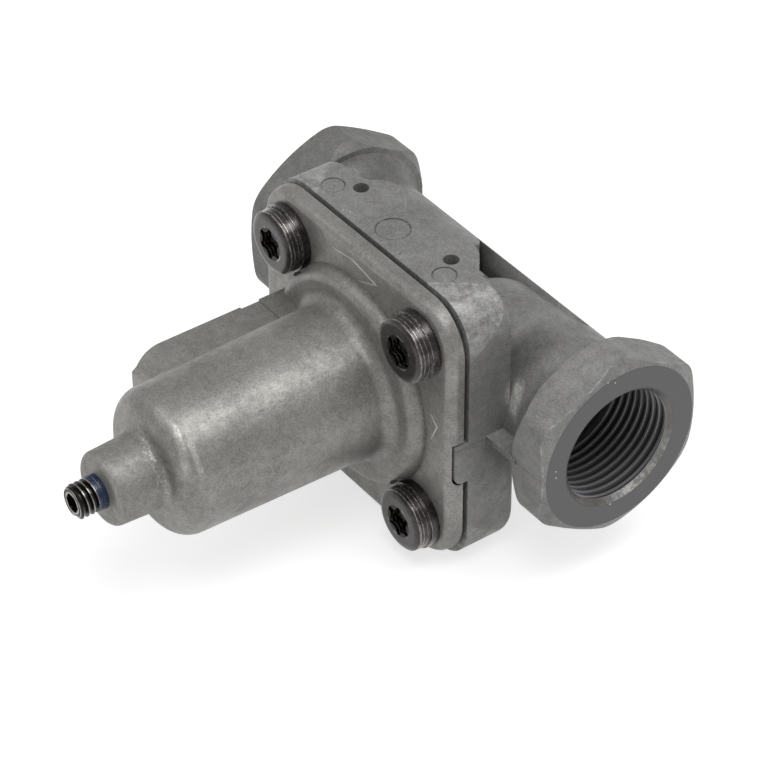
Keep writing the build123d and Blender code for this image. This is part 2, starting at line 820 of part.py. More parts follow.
# Retaining ring with two lugs for pliers
ring_outer = groove_radius - ring_fit
ring_inner = ring_outer - ring_width
with BuildPart() as retaining_ring:
    with BuildSketch(across.offset(ring_start)):
        Circle(ring_outer)
        Circle(ring_inner, mode=Mode.SUBTRACT)
        opening_half = ring_outer * sin(radians(ring_opening / 2))
        Rectangle(2 * ring_outer, 2 * opening_half, align=(Align.MIN, Align.CENTER), mode=Mode.SUBTRACT)
        lug_y = opening_half + ring_lug_hole
        lug_x = sqrt(ring_inner**2 - lug_y**2)
        with Locations((lug_x, lug_y), (lug_x, -lug_y)):
            Circle(ring_lug_radius)
        with Locations((lug_x, lug_y), (lug_x, -lug_y)):
            Circle(ring_lug_hole, mode=Mode.SUBTRACT)
    extrude(amount=ring_thickness)
retaining_ring.part.label = "retaining_ring"
export_step(retaining_ring.part, "parts/retaining_ring.step")
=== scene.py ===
"""Looks of the overflow charging valve: threads, set screw, cast marks, finishes and the studio.

The CAD frame is in metres. The spring housing points towards -Y, the ports lie along X and the
valve axis crosses them at valve_x.
"""

import json
import math

import bmesh
import bpy
from mathutils import Matrix, Vector


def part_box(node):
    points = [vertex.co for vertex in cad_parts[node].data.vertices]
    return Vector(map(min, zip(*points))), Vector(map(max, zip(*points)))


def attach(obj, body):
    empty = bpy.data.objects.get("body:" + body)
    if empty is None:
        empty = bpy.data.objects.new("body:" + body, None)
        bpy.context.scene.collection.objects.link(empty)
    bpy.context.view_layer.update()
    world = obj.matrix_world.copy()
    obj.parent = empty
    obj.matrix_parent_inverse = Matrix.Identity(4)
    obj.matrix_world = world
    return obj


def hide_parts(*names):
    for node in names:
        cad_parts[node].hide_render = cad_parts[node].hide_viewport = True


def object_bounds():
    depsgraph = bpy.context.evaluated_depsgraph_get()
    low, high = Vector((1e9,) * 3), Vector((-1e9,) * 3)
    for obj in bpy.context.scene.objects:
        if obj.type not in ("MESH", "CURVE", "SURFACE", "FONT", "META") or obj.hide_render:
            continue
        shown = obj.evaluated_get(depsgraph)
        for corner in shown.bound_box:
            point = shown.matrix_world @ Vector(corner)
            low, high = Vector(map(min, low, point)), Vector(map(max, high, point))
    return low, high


bl_info = {
    "name": "Overflow Valve Looks",
    "version": (1, 0, 0),
    "blender": (4, 5, 0),
    "location": "View3D > Sidebar > Valve",
    "description": "Adds threads, marks, finishes and a studio to the overflow charging valve",
    "category": "Object",
}

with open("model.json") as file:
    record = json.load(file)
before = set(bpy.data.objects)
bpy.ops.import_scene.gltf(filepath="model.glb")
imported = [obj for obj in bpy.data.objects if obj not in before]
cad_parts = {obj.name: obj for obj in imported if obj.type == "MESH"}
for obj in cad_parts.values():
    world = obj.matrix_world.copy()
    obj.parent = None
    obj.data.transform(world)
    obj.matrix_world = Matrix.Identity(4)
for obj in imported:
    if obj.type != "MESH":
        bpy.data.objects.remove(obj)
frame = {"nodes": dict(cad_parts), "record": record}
frame_low, frame_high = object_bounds()

MM = 0.001
FULL_TURN = 2 * math.pi

# Places taken from the frame
body_low, body_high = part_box("body")
screw_low, screw_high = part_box("set_screw")
mounts = frame["record"]["mounts"]
outlet = next(mount["dims"] for mount in mounts if mount["name"] == "outlet_port")
port_radius = outlet["r_mm"] * MM
port_depth = outlet["length_mm"] * MM
valve_x = (screw_low.x + screw_high.x) / 2
screw_radius = (screw_high.x - screw_low.x) / 2
nose_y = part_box("cover")[0].y
cover_face_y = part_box("lock_washer_1")[1].y
head_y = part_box("cover_screw_1")[0].y
screw_offset = valve_x - sum(corner.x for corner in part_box("cover_screw_1")) / 2
cover_screws = [f"cover_screw_{number}" for number in range(1, 5)]
lock_washers = [f"lock_washer_{number}" for number in range(1, 5)]

# The turned ring on a hexagon's face ends where a cone meets it
RING_RADIUS = 15.0 * MM
CONE_SLOPE = math.tan(math.radians(28))

# Depths of metric threads as parts of the pitch, in a port and on a screw
PORT_THREAD_DEPTH = 0.5413
SCREW_THREAD_DEPTH = 0.6134
# How far a ridge is sunk into the wall or the core that carries it
PORT_RIDGE_SUNK = 0.03 * MM
SCREW_RIDGE_SUNK = 0.05 * MM
# The lacquer stands over the screw's crests by less than the play in the nose's hole
LACQUER_OVER_CREST = 0.005 * MM
LACQUER_DEPTH = 0.4 * MM

# Radii at which a port's crests and roots shade into the flanks, and the set screw's crests
PORT_CREST, PORT_ROOT = (10.22 * MM, 10.34 * MM), (10.4 * MM, 10.95 * MM)
SCREW_CREST = (2.885 * MM, 2.935 * MM)

# From here down to the chevron all places are in millimetres, with x from the valve axis.
# Flaws of the body's casting
PITS = ((26.0, -12.1, 20.1), (26.0, -11.4, 18.9), (26.0, -12.2, 17.4), (3.1, -10.3, 26.0),
        (6.1, -18.3, 26.0))
NICKS = ((40.5, -13.2, 1.6), (40.5, -13.1, 0.3), (40.5, -1.8, 14.1), (40.5, -3.2, 14.8),
         (40.5, -1.5, -11.2), (-8.9, -18.6, 26.0), (-7.8, -18.0, 26.0))
# Round marks that the die's pins leave in the flange's top face: x, y and radius
PIN_MARKS = ((0.0, -15.15, 2.9), (-15.6, -15.85, 2.0), (14.6, -15.85, 2.0))
# Patches of painted light and shade on the body: middle and half width. The painted highlight
# on the neck leans by its slant
WALL_X, WALL_Y = (10.0, 20.0), (8.3, 0.4)
STREAK_X, STREAK_Y, STREAK_Z, STREAK_SLANT = (28.8, 1.7), (-10.4, 2.2), (6.2, 4.4), 0.33
CORNER_X, CORNER_Y = (22.5, 5.0), (-4.5, 7.0)
# Stretch of x over which the inlet's hexagon is painted darker, as painted shade
INLET_HEXAGON = (-28.0, -24.0)
# Arcs of painted highlight on the cover's crown, also raised and smoother: depth behind the nose,
# tilt, and middle and half length along z
CROWN_ARCS = ((9.15, -0.17, 8.4, 4.8), (12.0, 0.0, 7.0, 3.2))
ARC_HALF_WIDTH = 0.7
# Painted highlights on the edge of the nose and the fillet at its foot: depth behind the nose
# and half width
NOSE_EDGE, NOSE_FOOT = (0.35, 0.35), (7.9, 1.6)
# Rubbed rings on a cover screw's head: depth behind its face and half width
HEAD_RINGS = ((0.6, 0.2), (1.2, 0.14), (2.0, 0.1), (2.6, 0.16))
# Rim of a cover screw's socket, and the set screw's chamfer and socket: radius and half width
SOCKET_RIM, SCREW_END_EDGES = (3.0, 0.25), ((2.42, 0.16), (1.8, 0.2))
# Corners of the cast arrow and the small chevron on the cover's flange: x and z
ARROW = ((-5.8, 22.5), (-0.1, 23.2), (6.3, 21.9), (1.4, 19.9))
CHEVRON = ((20.9, 5.0), (22.5, 3.6), (20.9, 0.1))

# Colours of worn spots and of the parts inside
NICKED_CASTING = (0.75, 0.75, 0.74, 1)
CUT_WARMTH = (1.0, 0.97, 0.88, 1)
WORN_HEAD = (0.42, 0.39, 0.37, 1)
WORN_THREAD = (0.42, 0.39, 0.36, 1)
CHIPPED_LACQUER = (0.07, 0.17, 0.34, 1)
ALUMINIUM = (0.52, 0.52, 0.53)
ZINC = (0.42, 0.41, 0.36)
BRASS = (0.50, 0.36, 0.13)
WIRE = (0.24, 0.235, 0.23)
BRONZE_GRAIN, BRONZE_PORE = (0.30, 0.19, 0.09, 1), (0.035, 0.022, 0.012, 1)
RUBBER, RUBBER_BLOOM = (0.003, 0.003, 0.003, 1), (0.01, 0.01, 0.0097, 1)
CLOTH_PITCH = 0.7 * MM
# Glow that lifts the floor to white, for the camera and in reflections alone
FLOOR_GLOW = 0.68

# Softboxes: name, direction from the valve, side, and the setting that holds the power
LAMP_DISTANCE = 0.9
SOFTBOXES = (("key_softbox", (0.31, 0.3, 0.9), 0.4, "key_power"),
             ("fill_softbox", (-0.35, -0.6, 0.72), 0.6, "fill_power"),
             ("side_softbox", (0.3, -0.25, 0.92), 0.4, "side_power"))


# Settings that a user would change

LENGTH = {"subtype": "DISTANCE", "unit": "LENGTH", "precision": 5}
ANGLE = {"subtype": "ANGLE", "unit": "ROTATION"}
COLOUR = {"size": 3, "subtype": "COLOR", "min": 0, "max": 1}


class ValveSizes(bpy.types.PropertyGroup):
    """Sizes of the pieces that are added to the CAD model."""

    port_pitch: bpy.props.FloatProperty(
        name="Port pitch", description="Pitch of the thread in both ports",
        default=1.5 * MM, **LENGTH)
    port_lead: bpy.props.FloatProperty(
        name="Port lead", description="Depth of the cone that opens the port's thread",
        default=0.9 * MM, **LENGTH)
    screw_pitch: bpy.props.FloatProperty(
        name="Set screw pitch", description="Pitch of the set screw's thread",
        default=1.0 * MM, **LENGTH)
    screw_flats: bpy.props.FloatProperty(
        name="Socket flats", description="Width across the flats of the set screw's socket",
        default=3.0 * MM, **LENGTH)
    patch_length: bpy.props.FloatProperty(
        name="Lacquer length", description="Length of the thread lock in front of the nose",
        default=1.75 * MM, **LENGTH)
    mark_height: bpy.props.FloatProperty(
        name="Mark height", description="Height of the cast arrow over the cover's flange",
        default=0.12 * MM, **LENGTH)
    mark_width: bpy.props.FloatProperty(
        name="Mark width", description="Width of the lines of the cast arrow",
        default=0.3 * MM, **LENGTH)
    parting_width: bpy.props.FloatProperty(
        name="Parting line width", description="Width of the seam that the die leaves on the body",
        default=0.4 * MM, **LENGTH)


class ValveColours(bpy.types.PropertyGroup):
    """Colours of the finishes."""

    body_casting: bpy.props.FloatVectorProperty(
        name="Body casting", description="Colour of the die-cast body",
        default=(0.222, 0.22, 0.212), **COLOUR)
    cover_casting: bpy.props.FloatVectorProperty(
        name="Cover casting", description="Colour of the die-cast cover",
        default=(0.25, 0.245, 0.23), **COLOUR)
    cut_metal: bpy.props.FloatVectorProperty(
        name="Cut faces", description="Colour of the turned faces and threads of the ports",
        default=(0.103, 0.103, 0.107), **COLOUR)
    dark_oxide: bpy.props.FloatVectorProperty(
        name="Dark oxide", description="Colour of the cover screws and lock washers",
        default=(0.029, 0.0245, 0.023), **COLOUR)
    black_oxide: bpy.props.FloatVectorProperty(
        name="Black oxide", description="Colour of the set screw",
        default=(0.016, 0.016, 0.015), **COLOUR)
    thread_lock: bpy.props.FloatVectorProperty(
        name="Thread lock", description="Colour of the lacquer on the set screw",
        default=(0.0015, 0.011, 0.043), **COLOUR)


class StudioSettings(bpy.types.PropertyGroup):
    """Camera, lamps and floor."""

    azimuth: bpy.props.FloatProperty(
        name="Azimuth", description="Camera's turn round the valve, from the front",
        default=math.radians(53.928), **ANGLE)
    elevation: bpy.props.FloatProperty(
        name="Elevation", description="Camera's height over the horizon",
        default=math.radians(39.064), **ANGLE)
    roll: bpy.props.FloatProperty(
        name="Roll", description="Camera's turn about its own view",
        default=math.radians(-0.2575), **ANGLE)
    distance: bpy.props.FloatProperty(
        name="Distance", description="Distance from the aim point to the camera",
        default=0.537035, **LENGTH)
    lens: bpy.props.FloatProperty(
        name="Focal length", description="Focal length on a 36 mm sensor",
        default=149.91, unit="CAMERA")
    aim_right: bpy.props.FloatProperty(
        name="Aim right", description="Shift of the aim point to the right of the valve's centre",
        default=-0.01359, **LENGTH)
    aim_up: bpy.props.FloatProperty(
        name="Aim up", description="Shift of the aim point up from the valve's centre",
        default=-0.010542, **LENGTH)
    key_power: bpy.props.FloatProperty(
        name="Key power", description="Power of the large softbox",
        default=3.1, unit="POWER")
    fill_power: bpy.props.FloatProperty(
        name="Fill power", description="Power of the fill softbox",
        default=1.3, unit="POWER")
    side_power: bpy.props.FloatProperty(
        name="Side power", description="Power of the softbox over the outlet",
        default=2.2, unit="POWER")
    ambient: bpy.props.FloatProperty(
        name="Ambient", description="Strength of the plain room light", default=0.46, min=0, max=2)
    floor_size: bpy.props.FloatProperty(
        name="Floor size", description="Side of the square floor", default=4.0, **LENGTH)


# Mesh helpers


def clear_selection():
    """Leave edit mode with nothing selected."""
    if bpy.context.mode != "OBJECT":
        bpy.ops.object.mode_set(mode="OBJECT")
    bpy.ops.object.select_all(action="DESELECT")


def pick(piece):
    """Select one piece alone."""
    clear_selection()
    piece.select_set(True)
    bpy.context.view_layer.objects.active = piece


def name_piece(name):
    """Name the object that an operator has just added."""
    piece = bpy.context.object
    piece.name = name
    piece.data.name = name
    return piece


def apply_place():
    """Put the selected piece's place, turn and scale into its mesh."""
    bpy.ops.object.transform_apply(location=True, rotation=True, scale=True)


def edit(piece):
    """Start editing one piece, with all of it selected."""
    pick(piece)
    bpy.ops.object.mode_set(mode="EDIT")
    bpy.ops.mesh.select_all(action="SELECT")


def select_where(piece, kind, test):
    """Select the points (VERT) or faces (FACE) of the piece in edit mode that pass a test."""
    bpy.ops.mesh.select_mode(type=kind)
    bpy.ops.mesh.select_all(action="DESELECT")
    mesh = bmesh.from_edit_mesh(piece.data)
    for part in mesh.verts if kind == "VERT" else mesh.faces:
        if test(part):
            part.select_set(True)
    if kind == "VERT":
        mesh.select_flush(True)
    bmesh.update_edit_mesh(piece.data)


def face_outwards():
    """Merge the doubles of the piece in edit mode and turn all its faces outwards."""
    bpy.ops.mesh.select_mode(type="VERT")
    bpy.ops.mesh.select_all(action="SELECT")
    bpy.ops.mesh.remove_doubles(threshold=0.002 * MM)
    bpy.ops.mesh.normals_make_consistent(inside=False)


def settle(piece, smooth_angle=35.0):
    """Put the piece's place into its mesh and smooth its round stretches."""
    pick(piece)
    apply_place()
    bpy.ops.object.shade_smooth_by_angle(angle=math.radians(smooth_angle))
    clear_selection()


def add_modifier(piece, kind, **settings):
    """Add a modifier to the piece, set it and apply it."""
    pick(piece)
    bpy.ops.object.modifier_add(type=kind)
    modifier = piece.modifiers[-1]
    for name, value in settings.items():
        setattr(modifier, name, value)
    bpy.ops.object.modifier_apply(modifier=modifier.name)


def cut(piece, tool, operation):
    """Cut the piece with a tool, or keep what lies in it, and delete the tool."""
    add_modifier(piece, "BOOLEAN", operation=operation, solver="EXACT", use_self=True, object=tool)
    bpy.data.objects.remove(tool)


def join(pieces, name):
    """Join several pieces to one."""
    pick(pieces[0])
    for piece in pieces:
        piece.select_set(True)
    bpy.ops.object.join()
    return name_piece(name)


def copy_piece(piece, name):
    """Copy a piece with its own mesh."""
    pick(piece)
    bpy.ops.object.duplicate(linked=False)
    return name_piece(name)


def section(name, x, y, width, height):
    """Start editing a flat rectangle in the XY plane, which is wound or spun later."""
    clear_selection()
    bpy.ops.mesh.primitive_plane_add(size=1, location=(x, y, 0))
    piece = name_piece(name)
    piece.scale = (width, height, 1)
    apply_place()
    edit(piece)
    return piece


def round_bar(name, radius, length, vertices, chamfer):
    """A round bar that starts at the origin and lies along +X, with chamfered ends."""
    clear_selection()
    bpy.ops.mesh.primitive_cylinder_add(
        vertices=vertices, radius=radius, depth=length, rotation=(0, math.pi / 2, 0),
        location=(length / 2, 0, 0))
    bar = name_piece(name)
    apply_place()
    edit(bar)
    select_where(bar, "FACE", lambda face: abs(face.normal.x) > 0.9)
    bpy.ops.mesh.bevel(offset=chamfer, segments=1)
    clear_selection()
    return bar


def thread_ridge(name, root_radius, crest_radius, root_width, crest_width, pitch, turns, steps):
    """A closed right-handed ridge that winds along +X from the origin."""
    clear_selection()
    bpy.ops.mesh.primitive_plane_add(size=1)
    ridge = name_piece(name)
    edit(ridge)
    bpy.ops.transform.resize(value=(root_width, abs(crest_radius - root_radius), 1))
    bpy.ops.transform.translate(value=(0, (root_radius + crest_radius) / 2, 0))
    select_where(ridge, "VERT", lambda point: (
        abs(point.co.y - crest_radius) < abs(point.co.y - root_radius)))
    bpy.ops.transform.resize(
        value=(crest_width / root_width, 1, 1), center_override=(0, crest_radius, 0))
    bpy.ops.mesh.select_all(action="SELECT")
    bpy.ops.mesh.delete(type="ONLY_FACE")
    add_modifier(ridge, "SCREW", axis="X", screw_offset=pitch, iterations=turns, steps=steps,
                 render_steps=steps)
    edit(ridge)
    bpy.ops.mesh.fill_holes(sides=4)
    face_outwards()
    clear_selection()
    return ridge


# Shader helpers


def add_node(tree, kind, **settings):
    """Add a node and set its settings."""
    node = tree.nodes.new(kind)
    for name, value in settings.items():
        setattr(node, name, value)
    return node


def feed(socket, value):
    """Link a socket to an output, or give it a plain value."""
    if isinstance(value, bpy.types.NodeSocket):
        socket.id_data.links.new(value, socket)
    else:
        socket.default_value = value


def feed_labels(node, **values):
    """Feed the inputs of a node by their labels, written in lower case with underscores."""
    for label, value in values.items():
        feed(node.inputs[label.replace("_", " ").title().replace("Ior", "IOR")], value)


def tree_of(*values):
    """Node tree of the first value that is an output."""
    return next(value.id_data for value in values if isinstance(value, bpy.types.NodeSocket))


def compute(operation, *values):
    """Work out one value from others."""
    node = add_node(tree_of(*values), "ShaderNodeMath", operation=operation)
    for socket, value in zip(node.inputs, values):
        feed(socket, value)
    return node.outputs["Value"]


def gather(operation, values):
    """Take many values together, from the first to the last."""
    result, *others = values
    for value in others:
        result = compute(operation, result, value)
    return result


def multiply(*values):
    """Product of values, or what masks have in common."""
    return gather("MULTIPLY", values)


def highest(*values):
    """Highest of several values, or all that masks cover."""
    return gather("MAXIMUM", values)


def minus(first, second):
    """The first value less the second."""
    return compute("SUBTRACT", first, second)


def inverse(mask):
    """All that a mask leaves out."""
    return minus(1.0, mask)


def absolute(value):
    """A value without its sign."""
    return compute("ABSOLUTE", value)


def layer(base, *layers):
    """Add layers to a base, each given as a value and how much of it counts."""
    for value, amount in layers:
        base = compute("MULTIPLY_ADD", value, amount, base)
    return base


def choose(mask, first, second):
    """The first value where a mask is zero and the second where it is one."""
    return layer(multiply(first, inverse(mask)), (second, mask))


def spread(value, low, high, to_low=0.0, to_high=1.0):
    """Map a stretch of values to another one, smoothly and clamped."""
    node = add_node(
        tree_of(value), "ShaderNodeMapRange", interpolation_type="SMOOTHSTEP", clamp=True)
    feed_labels(node, value=value, from_min=low, from_max=high, to_min=to_low, to_max=to_high)
    return node.outputs["Result"]


def fade(value, low, high):
    """One up to the low value, and zero from the high one on."""
    return spread(value, low, high, 1.0, 0.0)


def noise(place, size, detail=2.0, roughness=0.5):
    """Cloudy pattern whose patches are about the given size, in metres."""
    node = add_node(tree_of(place), "ShaderNodeTexNoise")
    feed_labels(node, vector=place, scale=1.0 / size, detail=detail, roughness=roughness)
    return node.outputs["Fac"]


def mix_colour(factor, first, second, mode="MIX"):
    """Blend two colours."""
    node = add_node(tree_of(factor), "ShaderNodeMix", data_type="RGBA", blend_type=mode)
    colours = [socket for socket in node.inputs if socket.type == "RGBA"]
    for socket, value in zip((node.inputs[0], *colours), (factor, first, second)):
        feed(socket, value)
    return next(socket for socket in node.outputs if socket.type == "RGBA")


def vector(operation, first, second):
    """Node that works out a vector or a distance from a vector and a second input."""
    node = add_node(tree_of(first, second), "ShaderNodeVectorMath", operation=operation)
    feed(node.inputs[0], first)
    feed(node.inputs["Scale" if operation == "SCALE" else 1], second)
    return node.outputs


def shade(colour, factor):
    """Lighten or darken a colour by a factor that changes over the surface."""
    return vector("SCALE", colour, factor)["Vector"]


def object_place(material):
    """Object coordinates and their three parts."""
    place = add_node(material.node_tree, "ShaderNodeTexCoord").outputs["Object"]
    parts = add_node(material.node_tree, "ShaderNodeSeparateXYZ")
    feed_labels(parts, vector=place)
    return place, *parts.outputs


def radius_from(first, second, first_centre=0.0, second_centre=0.0):
    """Distance from an axis, from the two coordinates square to it."""
    squares = [compute("POWER", minus(value, centre), 2.0)
               for value, centre in ((first, first_centre), (second, second_centre))]
    return compute("SQRT", compute("ADD", *squares))


def beyond_ports(x):
    """How far a place lies beyond the body's end faces, below zero between them."""
    return highest(minus(x, body_high.x), minus(body_low.x, x))


def line_at(value, place, half_width):
    """A thin line, one where a value has its place and zero beyond half a width from it."""
    return fade(absolute(minus(value, place)), half_width * 0.3, half_width)


def patch(*stretches):
    """A soft patch, from coordinates and its middle and half width on each in millimetres."""
    return multiply(*(line_at(value, middle * MM, half_width * MM)
                      for value, (middle, half_width) in stretches))


def spots(place, centres, size):
    """Small uneven spots at places given in millimetres from the valve axis."""
    axis = Vector((valve_x, 0, 0))
    gaps = [vector("DISTANCE", place, Vector(centre) * MM + axis)["Value"] for centre in centres]
    uneven = layer(gather("MINIMUM", gaps), (noise(place, 0.3 * MM), size))
    return fade(uneven, size * 0.8, size * 1.1)


def start_material(name, **values):
    """New material with plain values on its own shader; returns it and its shader."""
    material = bpy.data.materials.new(name)
    material.use_nodes = True
    shader = material.node_tree.nodes["Principled BSDF"]
    feed_labels(shader, **values)
    return material, shader


def surface(shader, height, depth, **values):
    """Feed the shader and raise the surface by a height times a depth in metres."""
    node = add_node(shader.id_data, "ShaderNodeBump")
    feed_labels(node, strength=1.0, distance=depth, height=height)
    feed_labels(shader, normal=node.outputs["Normal"], **values)


def start_group(name, inputs, outputs):
    """New node group with named sockets; returns the group, its inputs and its outputs."""
    group = bpy.data.node_groups.new(name, "ShaderNodeTree")
    for label, (kind, default) in inputs.items():
        socket = group.interface.new_socket(label, in_out="INPUT", socket_type=kind)
        if default is not None:
            socket.default_value = default
    for label, kind in outputs.items():
        group.interface.new_socket(label, in_out="OUTPUT", socket_type=kind)
    given, made = (add_node(group, f"NodeGroup{end}") for end in ("Input", "Output"))
    return group, given.outputs, made.inputs


def cast_skin_group(name):
    """Skin of a die casting: fine grain, mottling, broad clouds and dark specks."""
    group, given, made = start_group(
        name,
        {"Vector": ("NodeSocketVector", None), "Colour": ("NodeSocketColor", (0.2, 0.2, 0.2, 1)),
         "Mottle": ("NodeSocketFloat", 0.2), "Grain": ("NodeSocketFloat", 0.1),
         "Specks": ("NodeSocketFloat", 0.2), "Roughness": ("NodeSocketFloat", 0.45)},
        {"Colour": "NodeSocketColor", "Roughness": "NodeSocketFloat", "Height": "NodeSocketFloat"})
    place = given["Vector"]
    grain = noise(place, 0.3 * MM, 3.0, 0.65)
    mottle = spread(noise(place, 1.6 * MM, 4.0, 0.7), 0.35, 0.65, -1.0, 1.0)
    clouds = spread(noise(place, 9.0 * MM), 0.3, 0.7, -1.0, 1.0)
    specks = spread(noise(place, 0.6 * MM, 2.0, 0.7), 0.6, 0.74)
    specks = multiply(specks, given["Specks"])
    uneven = multiply(layer(0.0, (mottle, 0.5), (clouds, 0.5)), given["Mottle"])
    fine = multiply(spread(grain, 0.32, 0.68, -1.0, 1.0), given["Grain"])
    tone = layer(1.0, (uneven, 1.0), (fine, 1.0), (specks, -1.0))
    feed(made["Colour"], shade(given["Colour"], tone))
    feed(made["Roughness"], layer(given["Roughness"], (uneven, -0.25), (specks, 0.3)))
    feed(made["Height"], layer(0.0, (grain, 0.5), (noise(place, 0.8 * MM), 0.6),
                               (noise(place, 2.4 * MM, 3.0, 0.6), 2.2)))
    return group


def tool_marks_group(name):
    """Fine lines that a turning tool leaves, by the distance that it fed along."""
    group, given, made = start_group(
        name,
        {"Vector": ("NodeSocketVector", None), "Distance": ("NodeSocketFloat", 0.0),
         "Feed": ("NodeSocketFloat", 0.15 * MM)},
        {"Shade": "NodeSocketFloat", "Height": "NodeSocketFloat"})
    turns = layer(compute("DIVIDE", given["Distance"], given["Feed"]),
                  (noise(given["Vector"], 3 * MM), 0.35))
    band = add_node(group, "ShaderNodeTexNoise", noise_dimensions="1D")
    feed_labels(band, w=multiply(turns, 0.7), scale=1.0, detail=3.0)
    feed(made["Shade"], spread(band.outputs["Fac"], 0.3, 0.7, -1.0, 1.0))
    wave = compute("SINE", multiply(turns, FULL_TURN))
    feed(made["Height"], layer(0.5, (wave, 0.5)))
    return group


def use_group(name, **values):
    """Place a node group, built the first time that it is needed; returns its outputs."""
    makers = {"Cast Skin": cast_skin_group, "Tool Marks": tool_marks_group}
    group = bpy.data.node_groups.get(name) or makers[name](name)
    node = add_node(tree_of(*values.values()), "ShaderNodeGroup", node_tree=group)
    feed_labels(node, **values)
    return node.outputs


# Finishes


def body_finish(colours, seam_width):
    """Cast skin with turned rings and bores at the ports, worn edges and the seam of the die."""
    material, shader = start_material("cast_body")
    place, x, y, z = object_place(material)
    across = minus(x, valve_x)
    radius = radius_from(y, z)
    beyond = beyond_ports(x)
    # the bores are turned too, up to 20 mm past the threads
    in_bore = multiply(fade(radius, port_radius + 0.05 * MM, port_radius + 0.15 * MM),
                       spread(beyond, -port_depth - 20 * MM, -port_depth - 18 * MM))
    machined = highest(spread(beyond, -0.06 * MM, -0.02 * MM), in_bore)
    cast = inverse(machined)
    # the edge where a hexagon's flats meet the cone of its face
    half_y, half_z = multiply(y, 0.5), multiply(z, math.sqrt(3) / 2)
    slanted = compute("ADD", absolute(half_y), absolute(half_z))
    to_flat = minus(highest(absolute(y), slanted), body_high.y)
    to_cone = layer(beyond, (minus(radius, RING_RADIUS), CONE_SLOPE))
    worn = multiply(spread(compute("ADD", to_flat, to_cone), -0.3 * MM, -0.05 * MM),
                    spread(noise(place, 1.5 * MM, 3.0, 0.7), 0.35, 0.6))
    # the seam lies in the plane of the ports
    seam = multiply(line_at(z, 0.0, seam_width / 2), cast,
                    spread(noise(place, 2.5 * MM), 0.3, 0.6, 0.3, 1.0))
    pits = highest(spots(place, PITS, 0.45 * MM), multiply(seam, 0.45))
    nicks = spots(place, NICKS, 0.22 * MM)
    # outlines of the round marks in the flange's top face
    outlines = [
        line_at(radius_from(across, y, mark_x * MM, mark_y * MM), mark_radius * MM, 0.2 * MM)
        for mark_x, mark_y, mark_radius in PIN_MARKS]
    rings = multiply(highest(*outlines),
                     spread(z, body_high.z - 0.4 * MM, body_high.z - 0.3 * MM),
                     spread(noise(place, 1.5 * MM), 0.3, 0.6, 0.3, 1.0))
    # painted light: the pocket's far wall is painted paler and less metallic, and a painted
    # highlight runs down the neck where it leaves the flange
    wall = multiply(patch((y, WALL_Y), (across, WALL_X)), spread(z, 4.0 * MM, 6.0 * MM))
    streak = multiply(
        patch((layer(across, (z, STREAK_SLANT)), STREAK_X), (z, STREAK_Z), (y, STREAK_Y)),
        spread(noise(place, 0.8 * MM, 3.0, 0.7), 0.3, 0.6, 0.4, 1.0))
    # painted shade: the inlet's hexagon and the corner between neck and flange are painted darker
    corner = multiply(patch((across, CORNER_X), (y, CORNER_Y)),
                      spread(radius, 12.5 * MM, 14.0 * MM, 1.6, 0.0))
    painted_shade = highest(corner, fade(across, *(edge * MM for edge in INLET_HEXAGON)))
    skin = use_group("Cast Skin", vector=place, colour=(*colours.body_casting, 1),
                     mottle=0.2, grain=0.2, specks=0.26, roughness=0.53)
    marks = use_group("Tool Marks", vector=place, distance=radius, feed=0.16 * MM)
    cut_colour = shade((*colours.cut_metal,), layer(1.0, (marks["Shade"], 0.04)))
    tone = layer(1.0, (worn, 0.5), (wall, 1.1), (painted_shade, -0.24), (streak, 1.3), (pits, -0.6),
                 (rings, -0.4))
    colour = shade(mix_colour(machined, skin["Colour"], cut_colour), tone)
    height = choose(machined, skin["Height"], multiply(marks["Height"], 0.15))
    surface(
        shader, layer(height, (seam, 2.0), (pits, -2.0), (rings, -2.0)), 0.035 * MM,
        base_color=mix_colour(nicks, colour, NICKED_CASTING),
        roughness=choose(machined, skin["Roughness"], layer(0.42, (marks["Shade"], 0.03))),
        metallic=layer(0.35, (machined, 0.25), (wall, -0.3)))
    return material


def cover_finish(colours):
    """Cast skin of the cover, with painted highlights on its crown and on the nose's edge and
    foot.
    """
    material, shader = start_material("cast_cover", metallic=0.55)
    place, x, y, z = object_place(material)
    across = minus(x, valve_x)
    behind = minus(y, nose_y)
    radius = radius_from(across, z)
    patches = noise(place, 0.7 * MM, 3.0, 0.7)
    # painted highlights on arcs of the crown, kept to the side that faces the light
    arcs = [patch((layer(behind, (z, tilt)), (depth, ARC_HALF_WIDTH)), (z, (middle, half_length)))
            for depth, tilt, middle, half_length in CROWN_ARCS]
    arcs = multiply(highest(*arcs), spread(across, 0.0, MM))
    # a faint painted highlight round the nose's edge joins them, broken into patches
    edges = multiply(highest(arcs, multiply(patch((behind, NOSE_EDGE)), 0.15)),
                     spread(patches, 0.3, 0.6, 0.4, 1.0))
    # painted highlight speckled on the nose's foot, on the side that faces the light
    foot = multiply(patch((behind, NOSE_FOOT)), fade(radius, 8.0 * MM, 9.0 * MM),
                    spread(compute("ADD", across, z), 4.0 * MM, 9.0 * MM),
                    spread(patches, 0.5, 0.62))
    # all the painted highlights, which lighten the colour and lower the roughness
    bright = highest(edges, multiply(foot, 0.6))
    nose = fade(behind, 6.0 * MM, 9.0 * MM)
    skin = use_group("Cast Skin", vector=place, colour=(*colours.cover_casting, 1),
                     mottle=0.2, grain=0.2, specks=0.3, roughness=0.46)
    surface(
        shader, layer(skin["Height"], (edges, 1.2)), 0.04 * MM,
        base_color=shade(skin["Colour"], layer(1.0, (bright, 0.75))),
        roughness=layer(skin["Roughness"], (bright, -0.18), (nose, 0.1)))
    return material


